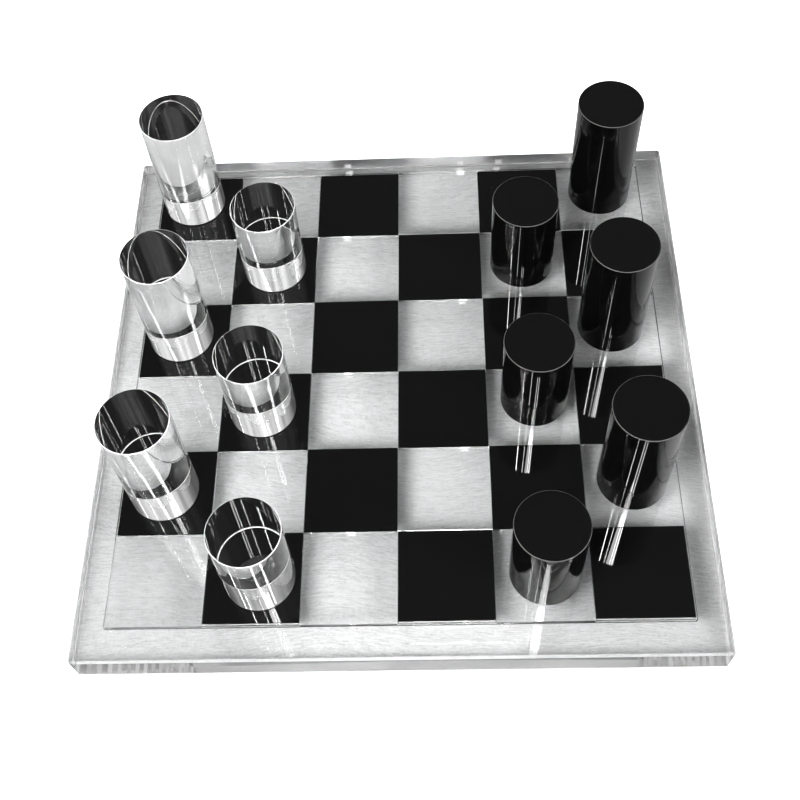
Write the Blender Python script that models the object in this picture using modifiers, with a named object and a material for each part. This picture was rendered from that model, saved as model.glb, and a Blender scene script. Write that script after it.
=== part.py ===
"""Modernist acrylic chess set: a clear slab board with black inlaid squares, and twelve plain cylinders.

Metres, +Z up. The origin is the centre of the underside, +X runs from file a to file f and +Y from
rank 1 to rank 6, so a square is named by its file letter and its rank number.
"""

import math

import bmesh
import bpy

# Board
SQUARE = 0.0508               # side of one square
SQUARES_PER_SIDE = 6
BORDER_WIDTH = 0.0186         # slab that shows on every side of the field
SLAB_THICKNESS = 0.019
SLAB_CHAMFER = 0.0012         # polished edge all round the slab
BACKING_THICKNESS = 0.0015
BACKING_INSET = 0.0005        # the backing sheet stops this far inside the slab's edge
INLAY_THICKNESS = 0.003
PLATE_FLOOR = 0.0007          # clear material left under the inlay pockets
PLATE_MARGIN = 0.001          # clear rim of the checker plate outside the field
PLATE_CHAMFER = 0.0002
INLAY_CHAMFER = 0.00015

# Playing pieces
PIECE_DIAMETER = 0.038
TALL_HEIGHT = 0.076
SHORT_HEIGHT = 0.057
RIM_CHAMFER = 0.0004          # broken edge at both ends of a cylinder
PIECE_SIDES = 64

FIT_GAP = 0.0003              # clearance between pieces that touch
CUT_OVERRUN = 0.001           # how far a cutter stands out of what it cuts
SHARP_ANGLE = math.radians(30)

FIELD_SIDE = SQUARES_PER_SIDE * SQUARE
SLAB_SIDE = FIELD_SIDE + 2 * BORDER_WIDTH
PLATE_SIDE = FIELD_SIDE + 2 * PLATE_MARGIN
BACKING_SIDE = SLAB_SIDE - 2 * BACKING_INSET
POCKET_DEPTH = INLAY_THICKNESS + FIT_GAP
PLATE_THICKNESS = POCKET_DEPTH + PLATE_FLOOR
POCKET_SIDE = SQUARE + FIT_GAP    # pockets that meet at a corner run into each other
INLAY_SIDE = SQUARE - FIT_GAP

SLAB_BOTTOM = BACKING_THICKNESS + FIT_GAP
PLATE_BOTTOM = SLAB_BOTTOM + SLAB_THICKNESS + FIT_GAP
PLAY_SURFACE = PLATE_BOTTOM + PLATE_THICKNESS
PIECE_BOTTOM = PLAY_SURFACE + FIT_GAP

# Where each cylinder stands: its square, and how far it is off the square's centre,
# as a share of the room that the cylinder leaves inside its square.
CLEAR_TALL = {"a2": (-0.30, 0.30), "a4": (-0.42, 0.58), "a6": (-0.65, 0.85)}
CLEAR_SHORT = {"b1": (0.55, 0.05), "b3": (-0.20, 0.32), "b5": (0.00, 0.32)}
BLACK_SHORT = {"e1": (0.18, 0.14), "e3": (0.20, 0.85), "e5": (-0.12, 0.12)}
BLACK_TALL = {"f2": (0.09, 0.52), "f4": (-0.31, 0.52), "f6": (0.02, 0.82)}

CLEAR_ACRYLIC = {"colour": (0.90, 0.92, 0.92), "roughness": 0.02, "transmission": 1.0}
BLACK_ACRYLIC = {"colour": (0.010, 0.010, 0.010), "roughness": 0.04, "transmission": 0.0}
PALE_SHEET = {"colour": (0.72, 0.72, 0.71), "roughness": 0.55, "transmission": 0.0}
ACRYLIC_IOR = 1.49


def clear_scene():
    for old in list(bpy.data.objects):
        bpy.data.objects.remove(old, do_unlink=True)


def add_collection(name):
    collection = bpy.data.collections.new(name)
    bpy.context.scene.collection.children.link(collection)
    return collection


def add_material(name, look):
    material = bpy.data.materials.new(name)
    material.use_nodes = True
    shader = material.node_tree.nodes["Principled BSDF"]
    shader.inputs["Base Color"].default_value = (*look["colour"], 1.0)
    shader.inputs["Roughness"].default_value = look["roughness"]
    shader.inputs["Metallic"].default_value = 0.0
    shader.inputs["Transmission Weight"].default_value = look["transmission"]
    shader.inputs["IOR"].default_value = ACRYLIC_IOR
    return material


def square_centre(square):
    """Centre of a named square, such as "c4", in the board's plane."""
    file_index = ord(square[0]) - ord("a")
    rank_index = int(square[1]) - 1
    half = (SQUARES_PER_SIDE - 1) / 2
    return (file_index - half) * SQUARE, (rank_index - half) * SQUARE


def black_square_names():
    """The dark half of the checker pattern, which leaves the near left square light."""
    names = []
    for rank_index in range(SQUARES_PER_SIDE):
        for file_index in range(SQUARES_PER_SIDE):
            if (file_index + rank_index) % 2 == 1:
                names.append(chr(ord("a") + file_index) + str(rank_index + 1))
    return names


def box_mesh(name, side, thickness):
    """A square slab standing on its own origin."""
    mesh = bpy.data.meshes.new(name)
    shape = bmesh.new()
    bmesh.ops.create_cube(shape, size=1.0)
    bmesh.ops.scale(shape, verts=shape.verts, vec=(side, side, thickness))
    bmesh.ops.translate(shape, verts=shape.verts, vec=(0.0, 0.0, thickness / 2))
    shape.to_mesh(mesh)
    shape.free()
    return mesh


def cylinder_mesh(name, diameter, height):
    """A round bar standing on its own origin."""
    mesh = bpy.data.meshes.new(name)
    shape = bmesh.new()
    bmesh.ops.create_cone(
        shape, cap_ends=True, segments=PIECE_SIDES,
        radius1=diameter / 2, radius2=diameter / 2, depth=height)
    bmesh.ops.translate(shape, verts=shape.verts, vec=(0.0, 0.0, height / 2))
    shape.to_mesh(mesh)
    shape.free()
    mesh.shade_smooth()
    mesh.set_sharp_from_angle(angle=SHARP_ANGLE)
    return mesh


def add_part(name, mesh, place, look, collection, parent):
    part = bpy.data.objects.new(name, mesh)
    part.location = place
    part.parent = parent
    if look is not None and not mesh.materials:
        mesh.materials.append(look)
    collection.objects.link(part)
    return part


def add_chamfer(part, width):
    chamfer = part.modifiers.new("chamfer", "BEVEL")
    chamfer.width = width
    chamfer.segments = 1
    chamfer.limit_method = "ANGLE"
    chamfer.angle_limit = SHARP_ANGLE


def add_backing_sheet(parts, board):
    sheet = box_mesh("backing_sheet", BACKING_SIDE, BACKING_THICKNESS)
    look = add_material("pale_sheet", PALE_SHEET)
    add_part("backing_sheet", sheet, (0.0, 0.0, 0.0), look, parts, board)


def add_base_slab(parts, board):
    slab = box_mesh("base_slab", SLAB_SIDE, SLAB_THICKNESS)
    look = add_material("clear_acrylic_slab", CLEAR_ACRYLIC)
    part = add_part("base_slab", slab, (0.0, 0.0, SLAB_BOTTOM), look, parts, board)
    add_chamfer(part, SLAB_CHAMFER)


def add_pocket_cutters(cutters):
    mesh = box_mesh("inlay_pocket", POCKET_SIDE, POCKET_DEPTH + CUT_OVERRUN)
    for square in black_square_names():
        x, y = square_centre(square)
        place = (x, y, PLAY_SURFACE - POCKET_DEPTH)
        cutter = add_part("pocket_" + square, mesh, place, None, cutters, None)
        cutter.hide_render = True
        cutter.display_type = "WIRE"


def add_checker_plate(parts, cutters, board):
    """The thin clear plate that carries the black inlays, one pocket for each."""
    plate = box_mesh("checker_plate", PLATE_SIDE, PLATE_THICKNESS)
    look = add_material("clear_acrylic_plate", CLEAR_ACRYLIC)
    part = add_part("checker_plate", plate, (0.0, 0.0, PLATE_BOTTOM), look, parts, board)
    add_chamfer(part, PLATE_CHAMFER)
    add_pocket_cutters(cutters)
    pockets = part.modifiers.new("inlay_pockets", "BOOLEAN")
    pockets.operation = "DIFFERENCE"
    pockets.solver = "EXACT"
    pockets.operand_type = "COLLECTION"
    pockets.collection = cutters


def add_black_inlays(parts, board):
    mesh = box_mesh("black_inlay", INLAY_SIDE, INLAY_THICKNESS)
    look = add_material("black_acrylic_inlay", BLACK_ACRYLIC)
    for square in black_square_names():
        x, y = square_centre(square)
        place = (x, y, PLAY_SURFACE - INLAY_THICKNESS)
        inlay = add_part("black_inlay_" + square, mesh, place, look, parts, board)
        add_chamfer(inlay, INLAY_CHAMFER)


def add_pieces(kind, height, places, material, parts, board):
    """One side's tall or short cylinders, each with its origin at the centre of its foot."""
    mesh = cylinder_mesh(kind, PIECE_DIAMETER, height)
    spare_room = (SQUARE - PIECE_DIAMETER) / 2
    for square, (share_x, share_y) in places.items():
        x, y = square_centre(square)
        place = (x + share_x * spare_room, y + share_y * spare_room, PIECE_BOTTOM)
        piece = add_part(kind + "_" + square, mesh, place, material, parts, board)
        add_chamfer(piece, RIM_CHAMFER)


def build_chess_set():
    clear_scene()
    parts = add_collection("acrylic_chess_set")
    cutters = add_collection("pocket_cutters")

    board = bpy.data.objects.new("board_origin", None)
    parts.objects.link(board)

    add_backing_sheet(parts, board)
    add_base_slab(parts, board)
    add_checker_plate(parts, cutters, board)
    add_black_inlays(parts, board)

    clear = add_material("clear_acrylic_piece", CLEAR_ACRYLIC)
    black = add_material("black_acrylic_piece", BLACK_ACRYLIC)
    add_pieces("clear_tall_cylinder", TALL_HEIGHT, CLEAR_TALL, clear, parts, board)
    add_pieces("clear_short_cylinder", SHORT_HEIGHT, CLEAR_SHORT, clear, parts, board)
    add_pieces("black_tall_cylinder", TALL_HEIGHT, BLACK_TALL, black, parts, board)
    add_pieces("black_short_cylinder", SHORT_HEIGHT, BLACK_SHORT, black, parts, board)


build_chess_set()
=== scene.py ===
"""Looks of the acrylic chess set: polished clear and black acrylic over a pale grained sheet."""
import math

import bmesh
import bpy
from mathutils import Matrix, Vector


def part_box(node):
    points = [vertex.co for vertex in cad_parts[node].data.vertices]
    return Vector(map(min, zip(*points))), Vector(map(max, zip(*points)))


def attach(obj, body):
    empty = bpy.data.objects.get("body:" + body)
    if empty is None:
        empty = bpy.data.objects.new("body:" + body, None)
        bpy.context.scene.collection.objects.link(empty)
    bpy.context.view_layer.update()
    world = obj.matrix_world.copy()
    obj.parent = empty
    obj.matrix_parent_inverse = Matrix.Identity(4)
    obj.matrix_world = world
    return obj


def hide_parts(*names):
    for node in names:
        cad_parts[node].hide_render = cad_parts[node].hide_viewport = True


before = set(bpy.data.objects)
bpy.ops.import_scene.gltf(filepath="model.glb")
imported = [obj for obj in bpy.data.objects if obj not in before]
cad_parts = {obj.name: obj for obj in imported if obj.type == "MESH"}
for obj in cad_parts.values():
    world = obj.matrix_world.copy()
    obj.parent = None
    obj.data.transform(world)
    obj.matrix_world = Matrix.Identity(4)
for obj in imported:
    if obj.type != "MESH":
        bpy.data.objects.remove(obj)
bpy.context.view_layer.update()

# Fine edges that the CAD leaves as single chamfers, in metres
SLAB_CHAMFER = 0.0012         # flat edge all round the slab
EDGE_ROUNDING = 0.00018       # softens both corners of each chamfer
INLAY_ROUNDING = 0.00008
SHEET_ROUNDING = 0.00030
RIM_CHAMFER = 0.00035         # broken edge at both ends of a cylinder
ROUNDING_SEGMENTS = 2
BEVELLED_ABOVE = math.radians(20)
FLAT_FACE_WEIGHT = 100        # the largest faces decide the shading at a rounding
LATHE_STEPS = 192
CORNER_STEPS = 3              # spans on each rounded corner of the turned profile
MERGE_DISTANCE = 0.00001

# Materials. Colours have an alpha, and a ramp is a list of (position, value) stops.
ACRYLIC_IOR = 1.49
MATT_IOR = 1.45
CLEAR_COLOUR = (0.985, 0.99, 0.99, 1.0)
# Matt white laid on the broken edges of clear acrylic: a painted highlight.
EDGE_HIGHLIGHT_COLOUR = (0.92, 0.92, 0.92, 1.0)
BLACK_COLOUR = (0.0052, 0.0052, 0.0054, 1.0)
DUST_AND_EDGE_HIGHLIGHT_COLOUR = (0.22, 0.22, 0.22, 1.0)    # dust specks, and a painted highlight on the broken edges of black pieces
CLEAR_SMEARS = [(0.45, 0.0), (0.75, 0.018)]       # noise to roughness
BLACK_SMEARS = [(0.40, 0.012), (0.80, 0.055)]     # noise to roughness
DUST_SIZE = [(0.020, 1.0), (0.035, 0.0)]          # distance from a cell's middle to speck
DUST_CHOICE = [(0.86, 0.0), (0.88, 1.0)]          # only a few cells hold a speck
DUST_CELLS = 130.0            # per metre
WALL_TO_FACE = (0.3, 0.8)     # levelness where an upright wall ends and a level face begins
SHEET_ROUGHNESS = 0.6
SHEET_TONES = [(0.34, 0.44), (0.50, 0.64), (0.62, 0.74)]
GRAIN_BEND = 0.06             # how far the grain wanders, in metres
CLOUD_SHARE = 0.20

# Grain of the pale sheet: waves per metre along each axis, detail, roughness, share of the tone
GRAIN_LAYERS = (
    ((150.0, 1000.0, 150.0), 2.0, 0.6, 0.42),     # fibres
    ((600.0, 1300.0, 600.0), 1.0, 0.5, 0.28),     # pores
    ((20.0, 560.0, 20.0), 2.0, 0.5, 0.10),        # growth lines
)

# The stage
FLOOR_SIDE = 60.0
FLOOR_DROP = 0.0002           # keeps the floor clear of the sheet's underside
FLOOR_ROUGHNESS = 0.8
FLOOR_TO_CAMERA = [(0.3, 0.93), (0.7, 0.96)]
FLOOR_TO_ACRYLIC = [(0.35, 0.50), (0.65, 0.66)]
FLOOR_GLOW = 0.75             # lifts the floor to near white where the camera sees it
ROOM_TO_CAMERA = (1.0, 1.0, 1.0, 1.0)
ROOM_IN_MIRRORS = [(0.0, 0.45), (0.5, 0.26), (0.72, 0.12), (1.0, 0.25)]     # front to back
ROOM_THROUGH_CLEAR = [(0.0, 0.08), (0.5, 0.14), (0.75, 0.80), (1.0, 0.50)]  # front to back
FURNITURE_SCALE = (7.0, 7.0, 1.0)
FURNITURE_SHADES = [(0.40, 0.65), (0.60, 1.1)]

# Kinds of ray that a lamp may act on
MATT = ("diffuse",)
GLOSS = ("glossy",)
CLEAR = ("transmission",)
ONE_REFLECTION = 1.5          # more than one, counted in whole steps

# Where the camera stands, measured from the middle of the playing surface
CAMERA_PLACE = (0.0269, -0.3598, 0.5655)
CAMERA_AIM = (0.0011, -0.0195, 0.0)
CAMERA_ROLL = math.radians(-4.96)
CAMERA_LENS = 51.8            # mm, on a sensor 36 mm wide
CAMERA_SENSOR = 36.0
CAMERA_CLIP_START = 0.01


# ---------------------------------------------------------------- node helpers

def new_material(name):
    material = bpy.data.materials.new(name)
    material.use_nodes = True
    nodes = material.node_tree.nodes
    nodes.clear()
    return material, nodes, material.node_tree.links


def show_surface(nodes, links, shader):
    """Makes this shader output what the material shows."""
    output = nodes.new("ShaderNodeOutputMaterial")
    links.new(shader, output.inputs["Surface"])


def add_node(nodes, kind, **inputs):
    """A shader node with values on the inputs named."""
    node = nodes.new(kind)
    for socket, value in inputs.items():
        node.inputs[socket].default_value = value
    return node


def math_node(nodes, links, operation, first, second):
    """The result of a sum on two numbers or sockets."""
    node = nodes.new("ShaderNodeMath")
    node.operation = operation
    for socket, value in zip(node.inputs, (first, second)):
        if isinstance(value, (int, float)):
            socket.default_value = value
        else:
            links.new(value, socket)
    return node.outputs[0]


def ramp(nodes, links, source, stops):
    """A grey ramp through (position, value) stops."""
    node = nodes.new("ShaderNodeValToRGB")
    elements = node.color_ramp.elements
    while len(elements) < len(stops):
        elements.new(0.5)
    for element, (position, value) in zip(elements, stops):
        element.position = position
        element.color = (value, value, value, 1.0)
    links.new(source, node.inputs["Fac"])
    return node.outputs["Color"]


def stretched(nodes, links, place, scale):
    """A place, stretched by scale per axis."""
    stretch = nodes.new("ShaderNodeMapping")
    stretch.inputs["Scale"].default_value = scale
    links.new(place, stretch.inputs["Vector"])
    return stretch.outputs["Vector"]


def object_coordinates(nodes, links, scale):
    """Object coordinates in metres, stretched by scale per axis."""
    place = nodes.new("ShaderNodeTexCoord")
    return stretched(nodes, links, place.outputs["Object"], scale)


def noise(nodes, links, place, detail, roughness=0.5):
    """Soft noise with waves about one unit of the place long."""
    node = add_node(nodes, "ShaderNodeTexNoise", Scale=1.0, Detail=detail, Roughness=roughness)
    links.new(place, node.inputs["Vector"])
    return node.outputs["Fac"]


def mix_colours(nodes, links, share):
    """A mix of colours A and B, with this share of B."""
    mix = nodes.new("ShaderNodeMix")
    mix.data_type = "RGBA"
    links.new(share, mix.inputs["Factor"])
    return mix


def mix_shaders(nodes, links, share, first, second):
    """A mix of two shaders, with this share of the second."""
    mix = nodes.new("ShaderNodeMixShader")
    links.new(share, mix.inputs["Fac"])
    links.new(first, mix.inputs[1])
    links.new(second, mix.inputs[2])
    return mix.outputs["Shader"]


def levelness(nodes, links):
    """1 on a level face, 0 on an upright wall and 0.7 on the broken edge between them."""
    surface = nodes.new("ShaderNodeNewGeometry")
    split = nodes.new("ShaderNodeSeparateXYZ")
    links.new(surface.outputs["Normal"], split.inputs[0])
    return math_node(nodes, links, "ABSOLUTE", split.outputs["Z"], 0.0)


def only_edges(nodes, links, level, share):
    """The share given, on broken edges alone."""
    stops = [(0.30, 0.0), (0.45, share), (0.90, share), (0.97, 0.0)]
    return ramp(nodes, links, level, stops)


# ---------------------------------------------------------------- materials

def clear_acrylic(name, face_tint, wall_tint, edge_highlight):
    """Solid clear acrylic. Lamps see it as a window, so that what lies under it is lit.

    A level face lets face_tint of a lamp's light through, and an upright wall wall_tint.
    The last argument is the share of matt white on broken edges, a painted highlight along rims and
    chamfers.
    """
    material, nodes, links = new_material(name)
    shader = add_node(nodes, "ShaderNodeBsdfPrincipled", IOR=ACRYLIC_IOR)
    shader.inputs["Transmission Weight"].default_value = 1.0
    shader.inputs["Base Color"].default_value = CLEAR_COLOUR
    smears = noise(nodes, links, object_coordinates(nodes, links, (26.0, 17.0, 21.0)), detail=4.0)
    links.new(ramp(nodes, links, smears, CLEAR_SMEARS), shader.inputs["Roughness"])

    level = levelness(nodes, links)
    # Painted highlight: a matt white shader mixed onto the broken edges.
    highlight_shader = add_node(nodes, "ShaderNodeBsdfDiffuse", Color=EDGE_HIGHLIGHT_COLOUR)
    highlight_share = only_edges(nodes, links, level, edge_highlight)
    body = mix_shaders(nodes, links, highlight_share, shader.outputs["BSDF"], highlight_shader.outputs["BSDF"])

    window = nodes.new("ShaderNodeBsdfTransparent")
    tints = list(zip(WALL_TO_FACE, (wall_tint, face_tint)))
    links.new(ramp(nodes, links, level, tints), window.inputs["Color"])
    path = nodes.new("ShaderNodeLightPath")
    lamp_side = math_node(nodes, links, "MAXIMUM",
                          path.outputs["Is Shadow Ray"], path.outputs["Is Diffuse Ray"])
    show_surface(nodes, links,
                 mix_shaders(nodes, links, lamp_side, body, window.outputs["BSDF"]))
    return material


def black_acrylic(name, edge_highlight_grey):
    """Polished opaque black acrylic with the odd speck of dust, and a painted highlight that greys its
    broken edges.
    """
    material, nodes, links = new_material(name)
    shader = add_node(nodes, "ShaderNodeBsdfPrincipled", IOR=ACRYLIC_IOR)

    dust = add_node(nodes, "ShaderNodeTexVoronoi", Scale=1.0, Randomness=1.0)
    links.new(object_coordinates(nodes, links, (DUST_CELLS,) * 3), dust.inputs["Vector"])
    speck = ramp(nodes, links, dust.outputs["Distance"], DUST_SIZE)
    chosen = ramp(nodes, links, dust.outputs["Color"], DUST_CHOICE)
    specks = math_node(nodes, links, "MULTIPLY", speck, chosen)
    # Painted highlight: a grey base colour on the broken edges.
    edges = only_edges(nodes, links, levelness(nodes, links), edge_highlight_grey)
    tone = mix_colours(nodes, links, math_node(nodes, links, "MAXIMUM", specks, edges))
    tone.inputs["A"].default_value = BLACK_COLOUR
    tone.inputs["B"].default_value = DUST_AND_EDGE_HIGHLIGHT_COLOUR
    links.new(tone.outputs["Result"], shader.inputs["Base Color"])

    smears = noise(nodes, links, object_coordinates(nodes, links, (30.0, 22.0, 18.0)), detail=5.0)
    links.new(ramp(nodes, links, smears, BLACK_SMEARS), shader.inputs["Roughness"])
    show_surface(nodes, links, shader.outputs["BSDF"])
    return material


def wandering_coordinates(nodes, links):
    """Object coordinates whose lines along X curl a little, like wood figure."""
    place = nodes.new("ShaderNodeTexCoord")
    bend = noise(nodes, links, object_coordinates(nodes, links, (7.0, 9.0, 7.0)), detail=1.0)
    across = nodes.new("ShaderNodeCombineXYZ")
    links.new(math_node(nodes, links, "MULTIPLY", bend, GRAIN_BEND), across.inputs["Y"])
    curled = nodes.new("ShaderNodeVectorMath")
    links.new(place.outputs["Object"], curled.inputs[0])
    links.new(across.outputs[0], curled.inputs[1])
    return curled.outputs[0]


def pale_grained_sheet(name):
    """Pale sheet with a fine grain that runs from side to side."""
    material, nodes, links = new_material(name)
    shader = add_node(nodes, "ShaderNodeBsdfPrincipled", IOR=MATT_IOR, Roughness=SHEET_ROUGHNESS)

    curled = wandering_coordinates(nodes, links)
    total = 0.0
    for scale, detail, roughness, share in GRAIN_LAYERS:
        lines = noise(nodes, links, stretched(nodes, links, curled, scale), detail, roughness)
        layer = math_node(nodes, links, "MULTIPLY", lines, share)
        total = math_node(nodes, links, "ADD", total, layer)
    clouds = noise(nodes, links, object_coordinates(nodes, links, (9.0, 13.0, 9.0)), detail=3.0)
    cloudy = math_node(nodes, links, "MULTIPLY", clouds, CLOUD_SHARE)
    total = math_node(nodes, links, "ADD", total, cloudy)
    links.new(ramp(nodes, links, total, SHEET_TONES), shader.inputs["Base Color"])
    show_surface(nodes, links, shader.outputs["BSDF"])
    return material


def pale_floor(name):
    """Pale floor. Reflections and clear parts see it darker, so that polished edges stand out."""
    material, nodes, links = new_material(name)
    shader = add_node(nodes, "ShaderNodeBsdfPrincipled", IOR=MATT_IOR, Roughness=FLOOR_ROUGHNESS)
    camera_ray = nodes.new("ShaderNodeLightPath").outputs["Is Camera Ray"]
    clouds = noise(nodes, links, object_coordinates(nodes, links, (9.0, 9.0, 9.0)), detail=2.0)
    tone = mix_colours(nodes, links, camera_ray)
    links.new(ramp(nodes, links, clouds, FLOOR_TO_ACRYLIC), tone.inputs["A"])
    links.new(ramp(nodes, links, clouds, FLOOR_TO_CAMERA), tone.inputs["B"])
    links.new(tone.outputs["Result"], shader.inputs["Base Color"])
    glow = math_node(nodes, links, "MULTIPLY", camera_ray, FLOOR_GLOW)
    links.new(glow, shader.inputs["Emission Strength"])
    show_surface(nodes, links, shader.outputs["BSDF"])
    return material


# ---------------------------------------------------------------- meshes

def add_object(name, mesh, material):
    piece = bpy.data.objects.new(name, mesh)
    bpy.context.scene.collection.objects.link(piece)
    mesh.materials.append(material)
    return piece


def box_between(name, low, high, material):
    """A closed box between two corners, given in the shared frame."""
    mesh = bpy.data.meshes.new(name)
    shape = bmesh.new()
    bmesh.ops.create_cube(shape, size=1.0)
    size = Vector(high) - Vector(low)
    middle = (Vector(high) + Vector(low)) / 2
    bmesh.ops.scale(shape, verts=shape.verts, vec=size)
    bmesh.ops.translate(shape, verts=shape.verts, vec=middle)
    shape.to_mesh(mesh)
    shape.free()
    return add_object(name, mesh, material)


def add_bevel(piece, name, width, segments):
    bevel = piece.modifiers.new(name, "BEVEL")
    bevel.width = width
    bevel.segments = segments
    bevel.limit_method = "ANGLE"
    bevel.angle_limit = BEVELLED_ABOVE
    bevel.use_clamp_overlap = True


def keep_faces_flat(piece):
    """Smooth roundings between faces that stay optically flat."""
    piece.data.shade_smooth()
    flat = piece.modifiers.new("flat_faces", "WEIGHTED_NORMAL")
    flat.keep_sharp = False
    flat.weight = FLAT_FACE_WEIGHT


def rounded_corner(before, corner, after):
    """Points of a small arc that softens one corner of an outline."""
    start = corner + (before - corner).normalized() * EDGE_ROUNDING
    end = corner + (after - corner).normalized() * EDGE_ROUNDING
    points = []
    for step in range(CORNER_STEPS + 1):
        t = step / CORNER_STEPS
        points.append(start * (1 - t) ** 2 + corner * 2 * t * (1 - t) + end * t ** 2)
    return points


def turned_profile(radius, height):
    """Half outline of a cylinder, from the middle of its top to the middle of its foot."""
    outline = [
        Vector((0.0, height)),
        Vector((radius - RIM_CHAMFER, height)),
        Vector((radius, height - RIM_CHAMFER)),
        Vector((radius, RIM_CHAMFER)),
        Vector((radius - RIM_CHAMFER, 0.0)),
        Vector((0.0, 0.0)),
    ]
    points = [outline[0]]
    for before, corner, after in zip(outline, outline[1:], outline[2:]):
        points += rounded_corner(before, corner, after)
    points.append(outline[-1])
    return points


def turned_cylinder(name, low, high, material):
    """A solid bar that fills the box of its CAD node, turned with softened rims."""
    radius = (high[0] - low[0]) / 2
    centre = Vector(((low[0] + high[0]) / 2, (low[1] + high[1]) / 2, low[2]))
    mesh = bpy.data.meshes.new(name)
    shape = bmesh.new()
    points = [shape.verts.new((p.x, 0.0, p.y)) for p in turned_profile(radius, high[2] - low[2])]
    edges = [shape.edges.new(pair) for pair in zip(points, points[1:])]
    bmesh.ops.spin(shape, geom=points + edges, cent=(0, 0, 0), axis=(0, 0, 1),
                   angle=2 * math.pi, steps=LATHE_STEPS, use_merge=True)
    bmesh.ops.remove_doubles(shape, verts=shape.verts, dist=MERGE_DISTANCE)
    bmesh.ops.recalc_face_normals(shape, faces=shape.faces)
    bmesh.ops.translate(shape, verts=shape.verts, vec=centre)
    shape.to_mesh(mesh)
    shape.free()
    piece = add_object(name, mesh, material)
    keep_faces_flat(piece)
    return piece


# ---------------------------------------------------------------- the board

def make_base_slab(material):
    low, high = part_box("base_slab")
    slab = box_between("base_slab_polished", low, high, material)
    add_bevel(slab, "chamfer", SLAB_CHAMFER, 1)
    add_bevel(slab, "rounding", EDGE_ROUNDING, ROUNDING_SEGMENTS)
    keep_faces_flat(slab)
    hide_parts("base_slab")
    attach(slab, "board")


def make_backing_sheet(material):
    low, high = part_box("backing_sheet")
    sheet = box_between("backing_sheet_grained", low, high, material)
    add_bevel(sheet, "rounding", SHEET_ROUNDING, ROUNDING_SEGMENTS)
    keep_faces_flat(sheet)
    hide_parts("backing_sheet")
    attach(sheet, "board")


def make_inlays(material):
    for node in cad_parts:
        if not node.startswith("black_inlay_"):
            continue
        low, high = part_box(node)
        inlay = box_between(node + "_polished", low, high, material)
        add_bevel(inlay, "rounding", INLAY_ROUNDING, ROUNDING_SEGMENTS)
        keep_faces_flat(inlay)
        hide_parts(node)
        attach(inlay, "board")


def dress_checker_plate(material):
    """The plate's CAD shape is right as it is, so it only gets its material."""
    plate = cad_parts["checker_plate"]
    plate.data.materials.clear()
    plate.data.materials.append(material)


# ---------------------------------------------------------------- the pieces

def make_cylinders(materials):
    """All twelve pieces, from names such as black_tall_cylinder_f4."""
    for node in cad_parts:
        if "_cylinder_" not in node:
            continue
        colour = node.split("_")[0]
        square = node.split("_")[-1]
        low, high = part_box(node)
        piece = turned_cylinder(node + "_polished", low, high, materials[colour])
        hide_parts(node)
        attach(piece, "piece_" + square)


# ---------------------------------------------------------------- stage

def make_floor():
    mesh = bpy.data.meshes.new("studio_floor")
    shape = bmesh.new()
    bmesh.ops.create_grid(shape, x_segments=1, y_segments=1, size=FLOOR_SIDE / 2)
    shape.to_mesh(mesh)
    shape.free()
    floor = add_object("studio_floor", mesh, pale_floor("studio_floor"))
    floor.location.z = -FLOOR_DROP


def hide_from_plain_mirror_images(light):
    """Lets a lamp show only after two reflections, so that its glare never covers the board."""
    light.use_nodes = True
    nodes = light.node_tree.nodes
    links = light.node_tree.links
    reflections = nodes.new("ShaderNodeLightPath").outputs["Glossy Depth"]
    shown = math_node(nodes, links, "GREATER_THAN", reflections, ONE_REFLECTION)
    links.new(shown, nodes["Emission"].inputs["Strength"])


def make_lamp(name, azimuth, elevation, distance, size, radiance, target, seen_by):
    """A soft oval panel that faces the target and acts only on the kinds of ray in seen_by.

    Azimuth 0 is in front of the board and 90 to its left; both angles are in degrees.
    """
    turn, tilt = math.radians(azimuth), math.radians(elevation)
    direction = Vector((-math.sin(turn) * math.cos(tilt),
                        -math.cos(turn) * math.cos(tilt),
                        math.sin(tilt)))
    light = bpy.data.lights.new(name, "AREA")
    light.shape = "ELLIPSE"
    light.size, light.size_y = size
    light.energy = radiance * math.pi * size[0] * size[1]
    if seen_by != MATT:
        hide_from_plain_mirror_images(light)
    lamp = bpy.data.objects.new(name, light)
    lamp.location = Vector(target) + direction * distance
    lamp.rotation_euler = (-direction).to_track_quat("-Z", "Y").to_euler()
    for ray in ("camera", "diffuse", "glossy", "transmission"):
        setattr(lamp, "visible_" + ray, ray in seen_by)
    bpy.context.scene.collection.objects.link(lamp)


def light_matt_surfaces(middle):
    make_lamp("key_front_left", azimuth=28, elevation=58, distance=0.85,
              size=(0.34, 0.34), radiance=21.5, target=middle, seen_by=MATT)
    make_lamp("fill_front_right", azimuth=-50, elevation=45, distance=1.2,
              size=(0.5, 0.5), radiance=7.0, target=middle, seen_by=MATT)
    make_lamp("back_light", azimuth=170, elevation=70, distance=1.5,
              size=(0.18, 0.18), radiance=12.0, target=middle, seen_by=MATT)


def light_polished_surfaces(middle):
    """A panel and thin strips, whose images are the streaks on the cylinders and inside them."""
    make_lamp("panel_over_camera", azimuth=-6, elevation=67, distance=0.95,
              size=(0.16, 0.36), radiance=65.0, target=middle, seen_by=GLOSS)
    for number, azimuth in enumerate((-12, -6, 12)):
        name = "strip_over_camera_" + str(number + 1)
        make_lamp(name, azimuth=azimuth, elevation=58, distance=0.95,
                  size=(0.009, 0.36), radiance=280.0, target=middle, seen_by=GLOSS)
        make_lamp(name + "_in_clear", azimuth=azimuth, elevation=58, distance=0.96,
                  size=(0.011, 0.30), radiance=40.0, target=middle, seen_by=CLEAR)
    make_lamp("strip_left", azimuth=42, elevation=57, distance=2.0,
              size=(0.035, 0.9), radiance=420.0, target=middle, seen_by=GLOSS)
    make_lamp("strip_left_in_clear", azimuth=44, elevation=58, distance=1.6,
              size=(0.05, 0.8), radiance=40.0, target=middle, seen_by=CLEAR)


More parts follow.
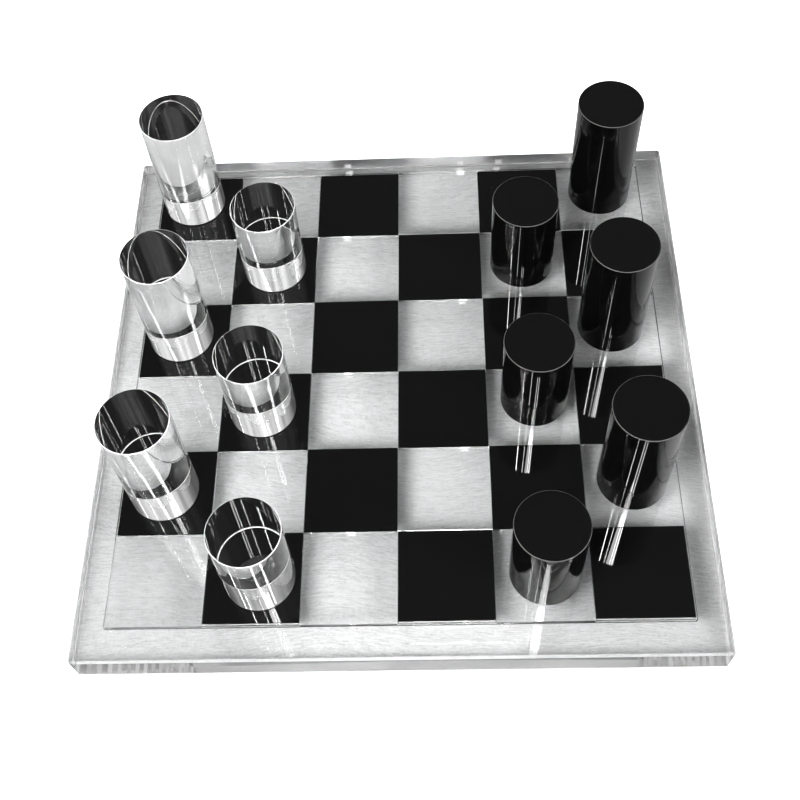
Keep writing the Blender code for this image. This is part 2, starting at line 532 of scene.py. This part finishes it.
def background(nodes, links, tone):
    """A background shader in a plain colour or in the tone of a socket."""
    node = nodes.new("ShaderNodeBackground")
    if isinstance(tone, tuple):
        node.inputs["Color"].default_value = tone
    else:
        links.new(tone, node.inputs["Color"])
    return node.outputs[0]


def make_world():
    """A soft room, darker above the back, which looks pale where the camera sees it."""
    world = bpy.data.worlds.new("soft_room")
    world.use_nodes = True
    nodes = world.node_tree.nodes
    links = world.node_tree.links
    nodes.clear()
    direction = nodes.new("ShaderNodeTexCoord").outputs["Generated"]
    split = nodes.new("ShaderNodeSeparateXYZ")
    links.new(direction, split.inputs[0])
    half = math_node(nodes, links, "MULTIPLY", split.outputs["Y"], 0.5)
    front_to_back = math_node(nodes, links, "ADD", half, 0.5)
    mirrored = ramp(nodes, links, front_to_back, ROOM_IN_MIRRORS)
    through_clear = ramp(nodes, links, front_to_back, ROOM_THROUGH_CLEAR)

    furniture = noise(nodes, links, stretched(nodes, links, direction, FURNITURE_SCALE), detail=1.0)
    uneven = nodes.new("ShaderNodeVectorMath")
    uneven.operation = "MULTIPLY"
    links.new(through_clear, uneven.inputs[0])
    links.new(ramp(nodes, links, furniture, FURNITURE_SHADES), uneven.inputs[1])

    path = nodes.new("ShaderNodeLightPath")
    room = mix_shaders(nodes, links, path.outputs["Is Transmission Ray"],
                       background(nodes, links, mirrored),
                       background(nodes, links, uneven.outputs[0]))
    seen = mix_shaders(nodes, links, path.outputs["Is Camera Ray"],
                       room, background(nodes, links, ROOM_TO_CAMERA))
    output = nodes.new("ShaderNodeOutputWorld")
    links.new(seen, output.inputs["Surface"])
    bpy.context.scene.world = world


def make_camera(play_surface):
    camera = bpy.data.objects.new("camera", bpy.data.cameras.new("camera"))
    camera.data.lens = CAMERA_LENS
    camera.data.sensor_width = CAMERA_SENSOR
    camera.data.clip_start = CAMERA_CLIP_START
    camera.location = Vector(CAMERA_PLACE) + Vector((0.0, 0.0, play_surface))
    view = Vector(CAMERA_AIM) - Vector(CAMERA_PLACE)
    upright = view.to_track_quat("-Z", "Y").to_matrix()
    camera.rotation_euler = (upright @ Matrix.Rotation(CAMERA_ROLL, 3, "Z")).to_euler()
    bpy.context.scene.collection.objects.link(camera)
    bpy.context.scene.camera = camera


def set_light_paths():
    """Enough bounces for light that crosses a piece, the plate, the slab and back."""
    cycles = bpy.context.scene.cycles
    cycles.max_bounces = 28
    cycles.transmission_bounces = 24
    cycles.glossy_bounces = 16
    cycles.diffuse_bounces = 4
    cycles.transparent_max_bounces = 32
    cycles.caustics_refractive = False
    cycles.caustics_reflective = False


def set_contrast():
    """The photo is a black and white print with crushed shadows."""
    view = bpy.context.scene.view_settings
    view.view_transform = "Standard"
    view.look = "Medium High Contrast"


play_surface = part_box("checker_plate")[1][2]
board_middle = (0.0, 0.0, play_surface)

# The last figure of each clear acrylic is its painted highlight of matt white on broken edges.
make_base_slab(clear_acrylic("clear_acrylic_slab", face_tint=0.97, wall_tint=0.12, edge_highlight=0.15))
dress_checker_plate(clear_acrylic("clear_acrylic_plate", face_tint=0.97, wall_tint=0.12, edge_highlight=0.0))
make_backing_sheet(pale_grained_sheet("pale_grained_sheet"))
make_inlays(black_acrylic("black_acrylic_inlay", edge_highlight_grey=0.0))
make_cylinders({
    "clear": clear_acrylic("clear_acrylic_piece", face_tint=0.92, wall_tint=0.80, edge_highlight=0.85),
    # The last figure is a painted highlight that greys the black pieces' rims.
    "black": black_acrylic("black_acrylic_piece", edge_highlight_grey=0.55),
})

make_floor()
light_matt_surfaces(board_middle)
light_polished_surfaces(board_middle)
make_world()
make_camera(play_surface)
set_light_paths()
set_contrast()
